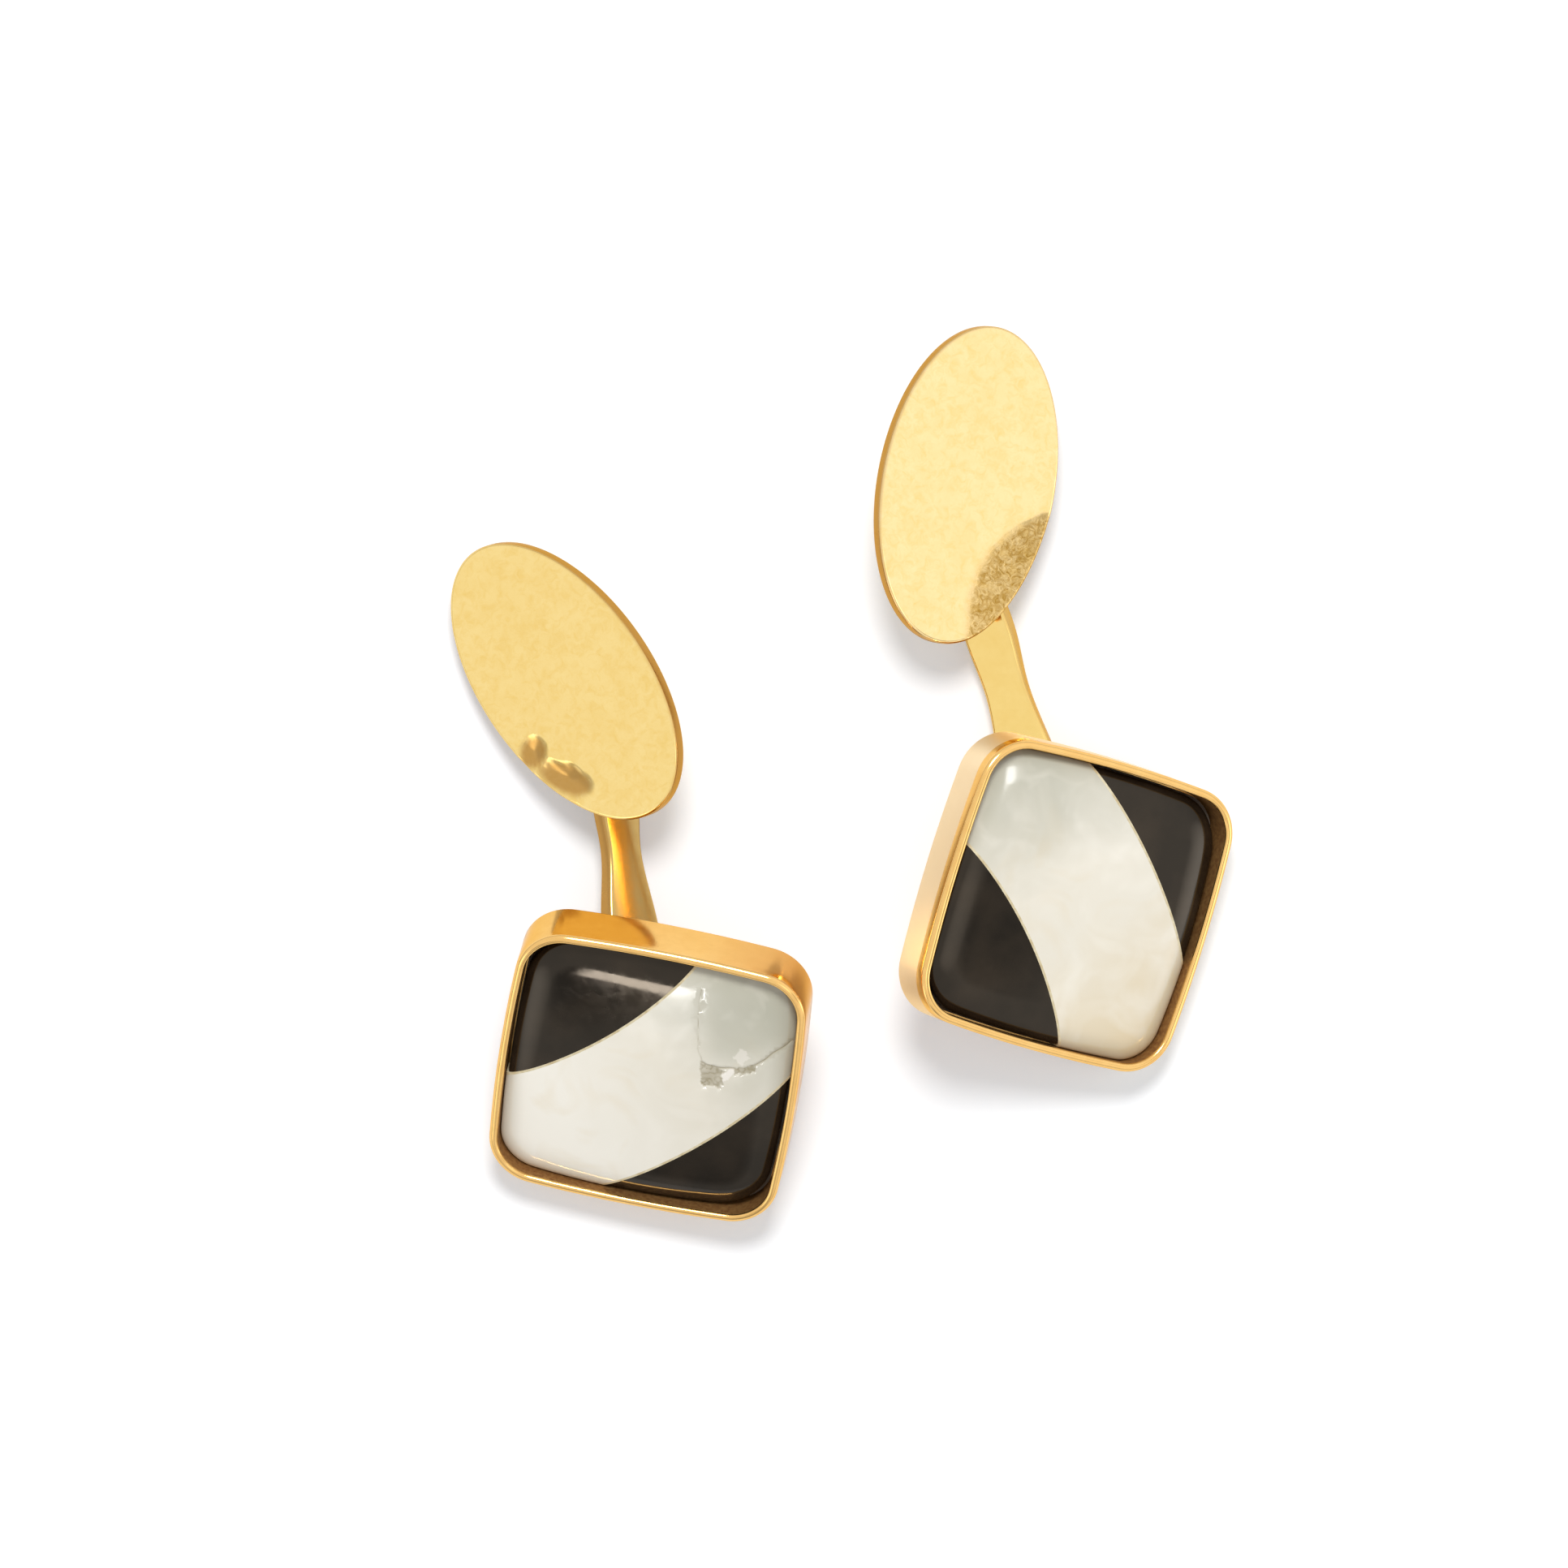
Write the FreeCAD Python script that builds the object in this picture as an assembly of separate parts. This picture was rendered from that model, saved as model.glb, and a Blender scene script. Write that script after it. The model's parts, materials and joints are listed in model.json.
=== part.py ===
import FreeCAD, Part
import math
import os

# A pair of cufflinks laid face up on a table: +X to the right, +Y away, +Z up from the table.
# Lengths are millimetres and angles are degrees.

# Front box: a bowed square of gold strip closed by a back plate
front_side = 15.0
front_depth = 2.8
side_bow_radius = 75.0
corner_radius = 2.5
wall = 0.42
rim_round = 0.16
back_thickness = 0.7

# Inlay: three stones cemented on a bed, ground together to one crown with a rounded edge
bed_thickness = 0.45
bed_clearance = 0.08
stone_clearance = 0.1
stone_corner_radius = 3.0
stone_edge_round = 0.5
crown_radius = 55.0
crown_rise = 0.08

# Seams: two arcs about one centre on the diagonal of the square
seam_centre_reach = 28.5
inner_seam_offset = -3.05
outer_seam_offset = 4.45
seam_width = 0.12

# Toggle: an oval plate on a forked bracket, riveted to the end of the post
plate_length = 16.05
plate_width = 9.4
plate_thickness = 0.85
plate_edge_round = 0.14
pin_drop = 1.45
pin_radius = 0.36
running_clearance = 0.03
head_radius = 0.56
head_height = 0.22
head_round = 0.14
eye_radius = 0.85
eye_thickness = 2.2
ear_thickness = 0.5
ear_clearance = 0.05
bracket_base = 0.3
bracket_reach = 1.5

# Post: a waisted strip that leaves the back plate wide, rolls over and ends in the eye
section_round = 0.2
post_stations_shares = (0.0, 0.1, 0.2, 0.31, 0.44, 0.56, 0.7, 0.85, 1.0)
post_widths = (3.8, 3.6, 3.35, 2.95, 2.2, 2.65, 2.2, 1.7, 1.4)
post_thicknesses = (2.2, 1.6, 1.2, 0.95, 0.8, 0.85, 0.9, 0.9, 0.8)
foot_blend_share = 0.3

# Overrun of every cutting tool past the face it cuts, and how near two heights count as level
overrun = 1.0
level_tolerance = 0.0001

# How each cufflink lies: turns are anticlockwise seen from above, headings from +X
LEFT = {
    "front_x": -6.84,
    "front_y": -14.74,
    "front_turn": -10.3,
    "front_tilt_heading": 254.3,
    "front_tilt": 31.5,
    "inlay_heading": 135.0,
    "plate_x": -11.02,
    "plate_y": 5.08,
    "plate_height": 4.0,
    "plate_turn": 39.7,
    "plate_tilt_heading": 198.3,
    "plate_tilt": 29.2,
    "foot_lean": 36.2,
    "foot_heading": 136.8,
    "foot_reach": 7.93,
    "foot_face_heading": -11.0,
    "foot_face_lift": 54.8,
    "eye_reach": 2.52,
    "eye_rise": 17.0,
    "eye_face": 1,
}
RIGHT = {
    "front_x": 14.67,
    "front_y": -6.12,
    "front_turn": -16.5,
    "front_tilt_heading": -20.9,
    "front_tilt": 27.7,
    "inlay_heading": 225.0,
    "plate_x": 9.23,
    "plate_y": 14.88,
    "plate_height": 4.5,
    "plate_turn": -11.2,
    "plate_tilt_heading": -7.0,
    "plate_tilt": 22.9,
    "foot_lean": 46.1,
    "foot_heading": 80.6,
    "foot_reach": 6.35,
    "foot_face_heading": 148.9,
    "foot_face_lift": 68.9,
    "eye_reach": 1.33,
    "eye_rise": 38.6,
    "eye_face": -1,
}

# Heights worked out from the sizes above, measured from the back face of the front box
bed_top = back_thickness + bed_thickness
crown_top = front_depth + crown_rise
plate_bottom = pin_drop
plate_top = pin_drop + plate_thickness
ear_inner = eye_thickness / 2 + ear_clearance
ear_outer = ear_inner + ear_thickness

ACROSS = FreeCAD.Vector(1, 0, 0)
ALONG = FreeCAD.Vector(0, 1, 0)
UP = FreeCAD.Vector(0, 0, 1)


def heading(angle):
    a = math.radians(angle)
    return FreeCAD.Vector(math.cos(a), math.sin(a), 0)


def lying(turn, tilt_heading, tilt):
    # Turned on the table first, then tipped towards the tilt heading
    axis = UP.cross(heading(tilt_heading))
    return FreeCAD.Rotation(axis, tilt) * FreeCAD.Rotation(UP, turn)


def cushion(inset, corner, bottom, height):
    # Prism on the bowed square, with its sides moved in by the inset and its corners rounded
    half = front_side / 2 - inset
    bow = side_bow_radius - inset
    back = bow - half
    q = (math.sqrt(2 * (bow - corner) ** 2 - back ** 2) - back) / 2
    touch = FreeCAD.Vector(q + back, q, 0) * (bow / (bow - corner)) - ACROSS * back
    middle = ACROSS * half
    start = FreeCAD.Vector(touch.x, -touch.y, 0)
    bend = FreeCAD.Vector(q, q, 0) + heading(45) * corner
    after = FreeCAD.Vector(touch.y, touch.x, 0)
    edges = []
    for quarter in range(4):
        spin = FreeCAD.Rotation(UP, 90 * quarter)
        for points in ((start, middle, touch), (touch, bend, after)):
            a, b, c = [spin.multVec(p) + UP * bottom for p in points]
            edges.append(Part.Arc(a, b, c).toShape())
    return Part.Face(Part.Wire(edges)).extrude(UP * height)


def edges_at(shape, height):
    # Edges that lie wholly in the level plane at this height
    return [e for e in shape.Edges
            if max(abs(e.BoundBox.ZMin - height), abs(e.BoundBox.ZMax - height)) < level_tolerance]


def front_pieces(inlay_heading):
    inner_corner = corner_radius - wall
    outer = cushion(0, corner_radius, 0, front_depth)
    wall_ring = outer.cut(cushion(wall, inner_corner, -overrun, front_depth + 2 * overrun))
    wall_ring = wall_ring.makeFillet(rim_round, edges_at(wall_ring, front_depth))
    back = cushion(wall, inner_corner, 0, back_thickness)
    bed = cushion(wall + bed_clearance, inner_corner - bed_clearance, back_thickness, bed_thickness)

    # One crowned block of stone, which the seams then part
    block = cushion(wall + stone_clearance, stone_corner_radius, bed_top, front_depth + crown_rise)
    ball = Part.makeSphere(crown_radius, UP * (crown_top - crown_radius))
    block = block.common(ball)
    crown_edges = [e for e in block.Edges if e.BoundBox.ZMin > bed_top
                   and e.BoundBox.XLength + e.BoundBox.YLength > e.BoundBox.ZLength]
    block = block.makeFillet(stone_edge_round, crown_edges)

    centre = heading(inlay_heading) * seam_centre_reach - UP * overrun
    tall = front_depth + 2 * overrun

    def within(offset):
        return Part.makeCylinder(seam_centre_reach + offset, tall, centre)

    half = seam_width / 2
    rods = [within(o) for o in (inner_seam_offset - half, inner_seam_offset + half,
                                outer_seam_offset - half, outer_seam_offset + half)]
    return {
        "bezel_wall": wall_ring,
        "back_plate": back,
        "stone_bed": bed,
        "onyx_inner": block.common(rods[0]),
        "seam_inner": block.common(rods[1]).cut(rods[0]),
        "pearl_band": block.common(rods[2]).cut(rods[1]),
        "seam_outer": block.common(rods[3]).cut(rods[2]),
        "onyx_outer": block.cut(rods[3]),
    }


def toggle_pieces():
    # Built about the pin: the pin lies along X, the plate is long in Y and faces +Z
    oval = Part.Ellipse(UP * plate_bottom + ALONG * (plate_length / 2),
                        UP * plate_bottom + ACROSS * (plate_width / 2), UP * plate_bottom)
    plate = Part.Face(Part.Wire(oval.toShape())).extrude(UP * plate_thickness)
    plate = plate.makeFillet(plate_edge_round, edges_at(plate, plate_top) + edges_at(plate, plate_bottom))

    base = Part.makeBox(2 * ear_outer, 2 * bracket_reach, bracket_base,
                        FreeCAD.Vector(-ear_outer, -bracket_reach, plate_bottom - bracket_base))
    bracket = base
    for inner in (-ear_outer, ear_inner):
        ear = Part.makeCylinder(eye_radius, ear_thickness, ACROSS * inner, ACROSS)
        cheek = Part.makeBox(ear_thickness, 2 * eye_radius, plate_bottom - bracket_base / 2,
                             FreeCAD.Vector(inner, -eye_radius, 0))
        bracket = bracket.fuse(ear).fuse(cheek)
    bracket = bracket.removeSplitter()
    shank = Part.makeCylinder(pin_radius, 2 * ear_outer, ACROSS * -ear_outer, ACROSS)
    bracket = bracket.cut(Part.makeCylinder(pin_radius, 2 * (ear_outer + overrun),
                                            ACROSS * -(ear_outer + overrun), ACROSS))
    pin = shank
    for way in (-1, 1):
        head = Part.makeCylinder(head_radius, head_height, ACROSS * (way * ear_outer), ACROSS * way)
        far = way * (ear_outer + head_height)
        rim = [e for e in head.Edges if abs(e.BoundBox.Center.x - far) < head_round
               and e.BoundBox.XLength < head_round]
        pin = pin.fuse(head.makeFillet(head_round, rim))
    return {"toggle_plate": plate, "hinge_bracket": bracket, "hinge_pin": pin.removeSplitter()}


def bezier(knots, share):
    rest = 1 - share
    return (knots[0] * rest ** 3 + knots[1] * (3 * rest ** 2 * share)
            + knots[2] * (3 * rest * share ** 2) + knots[3] * share ** 3)


def bezier_way(knots, share):
    rest = 1 - share
    way = ((knots[1] - knots[0]) * rest ** 2 + (knots[2] - knots[1]) * (2 * rest * share)
           + (knots[3] - knots[2]) * share ** 2)
    return way.normalize()


def strip_section(centre, way, face, width, thickness):
    # Rectangle with rounded corners, square to the way, its broad side facing the face
    across = way.cross(face).normalize()
    flat = across.cross(way).normalize()
    a = width / 2 - section_round
    b = thickness / 2 - section_round
    edges = []
    corners = ((1, 1), (-1, 1), (-1, -1), (1, -1))
    for i in range(4):
        sx, sy = corners[i]
        nx, ny = corners[(i + 1) % 4]
        middle = centre + across * (sx * a) + flat * (sy * b)
        following = centre + across * (nx * a) + flat * (ny * b)
        if i % 2 == 0:
            first, second = across * sx, flat * sy
        else:
            first, second = flat * sy, across * sx
        bend = (first + second).normalize()
        p = middle + first * section_round
        q = middle + bend * section_round
        r = middle + second * section_round
        edges.append(Part.Arc(p, q, r).toShape())
        edges.append(Part.LineSegment(r, following + second * section_round).toShape())
    return Part.Wire(edges)


def post_piece(lay, front_place, toggle_place):
    # A curve from the middle of the back plate to the pin, with sections hung along it
    turn = front_place.Rotation
    swivel = toggle_place.Rotation
    pin = toggle_place.Base
    foot = front_place.Base
    lean = math.radians(lay["foot_lean"])
    out = turn.multVec(UP * -math.cos(lean) + heading(lay["foot_heading"]) * math.sin(lean))
    rise = math.radians(lay["eye_rise"])
    arrive = swivel.multVec(ALONG * math.cos(rise) + UP * math.sin(rise))
    knots = (foot, foot + out * lay["foot_reach"], pin - arrive * lay["eye_reach"], pin)

    lift = math.radians(lay["foot_face_lift"])
    foot_face = turn.multVec(heading(lay["foot_face_heading"]) * math.cos(lift) + UP * math.sin(lift))
    eye_face = swivel.multVec(ACROSS * lay["eye_face"])
    square = turn.multVec(UP * -1)
    wires = []
    for share, width, thickness in zip(post_stations_shares, post_widths, post_thicknesses):
        way = bezier_way(knots, share)
        face = foot_face * (1 - share) + eye_face * share
        face = face - way * face.dot(way)
        turned = min(share / foot_blend_share, 1)
        way = (square * (1 - turned) + way * turned).normalize()
        wires.append(strip_section(bezier(knots, share), way, face, width, thickness))
    strip = Part.makeLoft(wires, True, False)
    pin_way = swivel.multVec(ACROSS)
    eye = Part.makeCylinder(eye_radius, eye_thickness, pin - pin_way * (eye_thickness / 2), pin_way)
    post = strip.fuse(eye)
    hole = Part.makeCylinder(pin_radius + running_clearance, eye_thickness + 2 * overrun,
                             pin - pin_way * (eye_thickness / 2 + overrun), pin_way)
    return post.cut(hole)


def cufflink(side, lay):
    # The front is tipped and let down until its lowest edge touches the table
    turn = lying(lay["front_turn"], lay["front_tilt_heading"], lay["front_tilt"])
    spot = FreeCAD.Vector(lay["front_x"], lay["front_y"], 0) - turn.multVec(UP * front_depth)
    spot.z = 0
    fronts = front_pieces(lay["inlay_heading"])
    probe = fronts["bezel_wall"].copy()
    probe.Placement = FreeCAD.Placement(spot, turn)
    spot.z = -probe.optimalBoundingBox().ZMin
    front_place = FreeCAD.Placement(spot, turn)

    swivel = lying(lay["plate_turn"], lay["plate_tilt_heading"], lay["plate_tilt"])
    top = FreeCAD.Vector(lay["plate_x"], lay["plate_y"], lay["plate_height"])
    toggle_place = FreeCAD.Placement(top - swivel.multVec(UP * plate_top), swivel)

    pieces = {}
    for name, shape in fronts.items():
        shape.Placement = front_place
        pieces[side + "_" + name] = shape
    for name, shape in toggle_pieces().items():
        shape.Placement = toggle_place
        pieces[side + "_" + name] = shape
    pieces[side + "_post"] = post_piece(lay, front_place, toggle_place)
    return pieces, front_place, toggle_place


pair = {}
places = {}
for side, lay in (("left", LEFT), ("right", RIGHT)):
    pieces, front_place, toggle_place = cufflink(side, lay)
    pair.update(pieces)
    places[side] = (front_place, toggle_place)

# The origin is under the middle of the pair, on the table
boxes = [shape.optimalBoundingBox() for shape in pair.values()]
middle = FreeCAD.Vector((min(b.XMin for b in boxes) + max(b.XMax for b in boxes)) / 2,
                        (min(b.YMin for b in boxes) + max(b.YMax for b in boxes)) / 2,
                        min(b.ZMin for b in boxes))
os.makedirs("parts", exist_ok=True)
for name, shape in pair.items():
    shape.translate(middle * -1)
    shape.exportStep("parts/" + name + ".step")

print("size", [max(getattr(b, a + "Max") for b in boxes) - min(getattr(b, a + "Min") for b in boxes)
               for a in "XYZ"], "moved by", -middle)
for side, (front_place, toggle_place) in places.items():
    swivel = toggle_place.Rotation
    print(side, "pin at", toggle_place.Base - middle, "closing axis", swivel.multVec(ACROSS * -1))
    print(side, "back at", front_place.Base - middle, "facing", front_place.Rotation.multVec(UP * -1))
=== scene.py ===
import json
import math

import bmesh
import bpy
from mathutils import Matrix, Vector, geometry, noise


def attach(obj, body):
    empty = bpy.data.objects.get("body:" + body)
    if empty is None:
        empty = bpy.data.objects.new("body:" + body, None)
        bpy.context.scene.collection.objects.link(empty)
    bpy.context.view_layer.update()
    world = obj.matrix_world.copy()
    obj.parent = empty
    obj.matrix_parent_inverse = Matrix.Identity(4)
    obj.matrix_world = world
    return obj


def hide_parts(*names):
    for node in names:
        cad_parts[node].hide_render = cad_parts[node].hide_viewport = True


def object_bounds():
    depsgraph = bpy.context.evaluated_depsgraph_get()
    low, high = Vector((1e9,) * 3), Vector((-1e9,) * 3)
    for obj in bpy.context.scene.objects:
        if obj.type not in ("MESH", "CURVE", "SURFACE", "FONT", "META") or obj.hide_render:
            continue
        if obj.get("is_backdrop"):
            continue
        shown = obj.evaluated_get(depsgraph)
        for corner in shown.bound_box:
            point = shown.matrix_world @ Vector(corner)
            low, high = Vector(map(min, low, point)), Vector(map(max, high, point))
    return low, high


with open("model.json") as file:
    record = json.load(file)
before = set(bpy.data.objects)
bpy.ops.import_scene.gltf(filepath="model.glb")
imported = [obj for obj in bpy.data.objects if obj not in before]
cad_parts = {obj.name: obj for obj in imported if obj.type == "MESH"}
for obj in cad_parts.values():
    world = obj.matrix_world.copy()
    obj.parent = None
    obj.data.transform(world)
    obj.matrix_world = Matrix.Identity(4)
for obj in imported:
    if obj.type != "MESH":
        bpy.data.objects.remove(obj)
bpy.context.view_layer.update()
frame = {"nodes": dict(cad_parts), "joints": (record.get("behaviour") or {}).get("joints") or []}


# Bezel walls. Each front is a shallow box whose wall is one strip of warm gold, bent to a bowed
# square and soldered at a corner. The rim is burnished over the stones and polished round.
MM = 0.001
SIDES = ("left", "right")
front_lies = {"left": (-10.3, 254.3, 31.5), "right": (-16.5, -20.9, 27.7)}
front_side = 15.0
front_depth = 2.8
side_bow_radius = 75.0
corner_radius = 2.5
wall = 0.42
rim_roll = 0.25
rim_inner_round = 0.13
foot_round = 0.1
wall_waver = 0.008
wall_waver_length = 2.6
side_steps = 40
corner_steps = 18
round_steps = 6
warm_gold = (0.89, 0.56, 0.20)
warm_gold_deep = (0.80, 0.45, 0.13)
burnished_strip = 0.7
burnished_fade = 0.12
# Down the inner wall from the top of the trench, grime and painted shade darken the gold
grime_and_shade_fade = 0.1
# A painted darker tone on the left front's wall, over the half at +y and deepening towards +x, stands in
# for darker reflections there
corner_shade_start, corner_shade_run = 1.5, 5.0
# Paler tone of the right wall's satin outside, a painted reflection of the white sheet that it mirrors
pale_reflection_gold = (0.97, 0.81, 0.57)
# Darker tone of that corner: painted shade standing in for darker reflections
corner_shade_gold = (0.72, 0.37, 0.12)
# Darker brown of the filed plate edges, the dents and the posts' narrow sides: painted shade and painted
# dark reflections
filed_and_shade_gold = (0.46, 0.22, 0.05)
# Scuffed tone of the right plate's worn corner and of the dents, a painted dark reflection
scuff_reflection_gold = (0.42, 0.23, 0.035)
# Dark brown of grime and painted shade, on the inner wall in the trench by the stones
grime_and_shade_brown = (0.20, 0.075, 0.025)
gold_edge_tint = (0.95, 0.75, 0.45, 1)
gold_grain = 0.65
gold_relief = 0.02
brush_stretch = (9.0, 0.5, 2.0)

bow_back = side_bow_radius - front_side / 2


def lying(turn, tilt_heading, tilt):
    """Turned on the table first, then tipped towards a heading; angles in degrees."""
    way = math.radians(tilt_heading)
    axis = Vector((-math.sin(way), math.cos(way), 0))
    return Matrix.Rotation(math.radians(tilt), 3, axis) @ Matrix.Rotation(math.radians(turn), 3, "Z")


def front_place(side):
    """Where the middle of the back face of a front lies, read from its packed wall."""
    turn = lying(*front_lies[side])
    points = [turn.transposed() @ v.co for v in frame["nodes"][side + "_bezel_wall"].data.vertices]
    low = Vector(min(p[i] for p in points) for i in range(3))
    high = Vector(max(p[i] for p in points) for i in range(3))
    seat = Vector(((low.x + high.x) / 2, (low.y + high.y) / 2, low.z))
    return Matrix.Translation(turn @ seat) @ turn.to_4x4()


def corner_place(corner):
    """How far out a round corner has its middle, and the angle at which the bowed side meets it."""
    reach = (math.sqrt(2 * (side_bow_radius - corner) ** 2 - bow_back ** 2) - bow_back) / 2
    return reach, math.atan2(reach, reach + bow_back)


def bowed_square(inset, corner=corner_radius):
    """A bowed square with four round corners, all moved in by the inset."""
    corner_reach, bow_half_angle = corner_place(corner)
    points = []
    for quarter in range(4):
        spin = Matrix.Rotation(math.pi / 2 * quarter, 2)
        for k in range(side_steps):
            a = bow_half_angle * (2 * k / side_steps - 1)
            reach = side_bow_radius - inset
            points.append(spin @ Vector((reach * math.cos(a) - bow_back, reach * math.sin(a))))
        for k in range(corner_steps):
            a = bow_half_angle + (math.pi / 2 - 2 * bow_half_angle) * k / corner_steps
            reach = corner - inset
            points.append(spin @ Vector((corner_reach + reach * math.cos(a),
                                         corner_reach + reach * math.sin(a))))
    return points


def round_over(centre_x, centre_y, radius, start, stop):
    """Points of a small arc in a profile, angles in degrees."""
    angles = [math.radians(start + (stop - start) * k / round_steps) for k in range(round_steps + 1)]
    return [(centre_x + radius * math.cos(a), centre_y + radius * math.sin(a)) for a in angles]


def loops_to_faces(rows, count, closed=False):
    """Quads between rows of points that each go once round, with a face over each open end."""
    faces = []
    for r in range(rows if closed else rows - 1):
        here, there = r * count, (r + 1) % rows * count
        for k in range(count):
            n = (k + 1) % count
            faces.append((here + k, here + n, there + n, there + k))
    if not closed:
        faces += [tuple(range(count)), tuple(range((rows - 1) * count, rows * count))]
    return faces


def add_piece(name, body, node, points, faces, place, material, sharp=40, marks=None):
    """A mesh piece from points in millimetres in the piece's own axes, put in its place."""
    mesh = bpy.data.meshes.new(name)
    mesh.from_pydata([place @ (p * MM) for p in points], [], faces)
    own = mesh.attributes.new("own_mm", "FLOAT_VECTOR", "POINT")
    own.data.foreach_set("vector", [c for p in points for c in p])
    for which, values in (marks or {}).items():
        mesh.attributes.new(which, "FLOAT", "POINT").data.foreach_set("value", values)
    shape = bmesh.new()
    shape.from_mesh(mesh)
    bmesh.ops.recalc_face_normals(shape, faces=shape.faces)
    shape.to_mesh(mesh)
    shape.free()
    mesh.shade_smooth()
    mesh.set_sharp_from_angle(angle=math.radians(sharp))
    mesh.materials.append(material)
    piece = bpy.data.objects.new(name, mesh)
    bpy.context.scene.collection.objects.link(piece)
    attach(piece, body)
    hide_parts(node)
    return piece


def add_node(tree, kind, inputs=None, **settings):
    """One shader node, with values or other nodes' outputs on its sockets."""
    made = tree.nodes.new(kind)
    for key, value in settings.items():
        setattr(made, key, value)
    for key, value in (inputs or {}).items():
        if isinstance(value, bpy.types.NodeSocket):
            tree.links.new(value, made.inputs[key])
        else:
            made.inputs[key].default_value = value
    return made


def new_material(name):
    material = bpy.data.materials.new(name)
    material.use_nodes = True
    tree = material.node_tree
    return material, tree, tree.nodes["Principled BSDF"]


def put(tree, shader, **sockets):
    """Sets or links named sockets of a shader; underscores stand for spaces."""
    for key, value in sockets.items():
        socket = shader.inputs[key.replace("_", " ")]
        if isinstance(value, bpy.types.NodeSocket):
            tree.links.new(value, socket)
        else:
            socket.default_value = value


def mapped(tree, value, low, high, to_low, to_high):
    made = add_node(tree, "ShaderNodeMapRange", {"Value": value, "From Min": low, "From Max": high,
                                                 "To Min": to_low, "To Max": to_high})
    return made.outputs["Result"]


def blended(tree, share, first, second):
    """A colour between two, by a share that varies over the surface."""
    made = add_node(tree, "ShaderNodeMix", data_type="RGBA")
    colours = [s for s in made.inputs if s.type == "RGBA"]
    for socket, value in zip(colours, (first, second)):
        if isinstance(value, bpy.types.NodeSocket):
            tree.links.new(value, socket)
        else:
            socket.default_value = (*value, 1)
    tree.links.new(share, made.inputs[0])
    return next(s for s in made.outputs if s.type == "RGBA")


def own_place(tree):
    """Where a point lies in its piece's own axes, in millimetres."""
    return add_node(tree, "ShaderNodeAttribute", attribute_name="own_mm").outputs["Vector"]


def mark(tree, which):
    """How strongly one of the mesh's marks shows at a point."""
    return add_node(tree, "ShaderNodeAttribute", attribute_name=which).outputs["Fac"]


def clouds(tree, along, scale, detail, distortion=0.0, grain=0.5):
    made = add_node(tree, "ShaderNodeTexNoise", {"Vector": along, "Scale": scale, "Detail": detail,
                                                 "Distortion": distortion, "Roughness": grain})
    return made.outputs["Fac"]


def worked(tree, operation, first, second):
    return add_node(tree, "ShaderNodeMath", {0: first, 1: second}, operation=operation).outputs["Value"]


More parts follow.
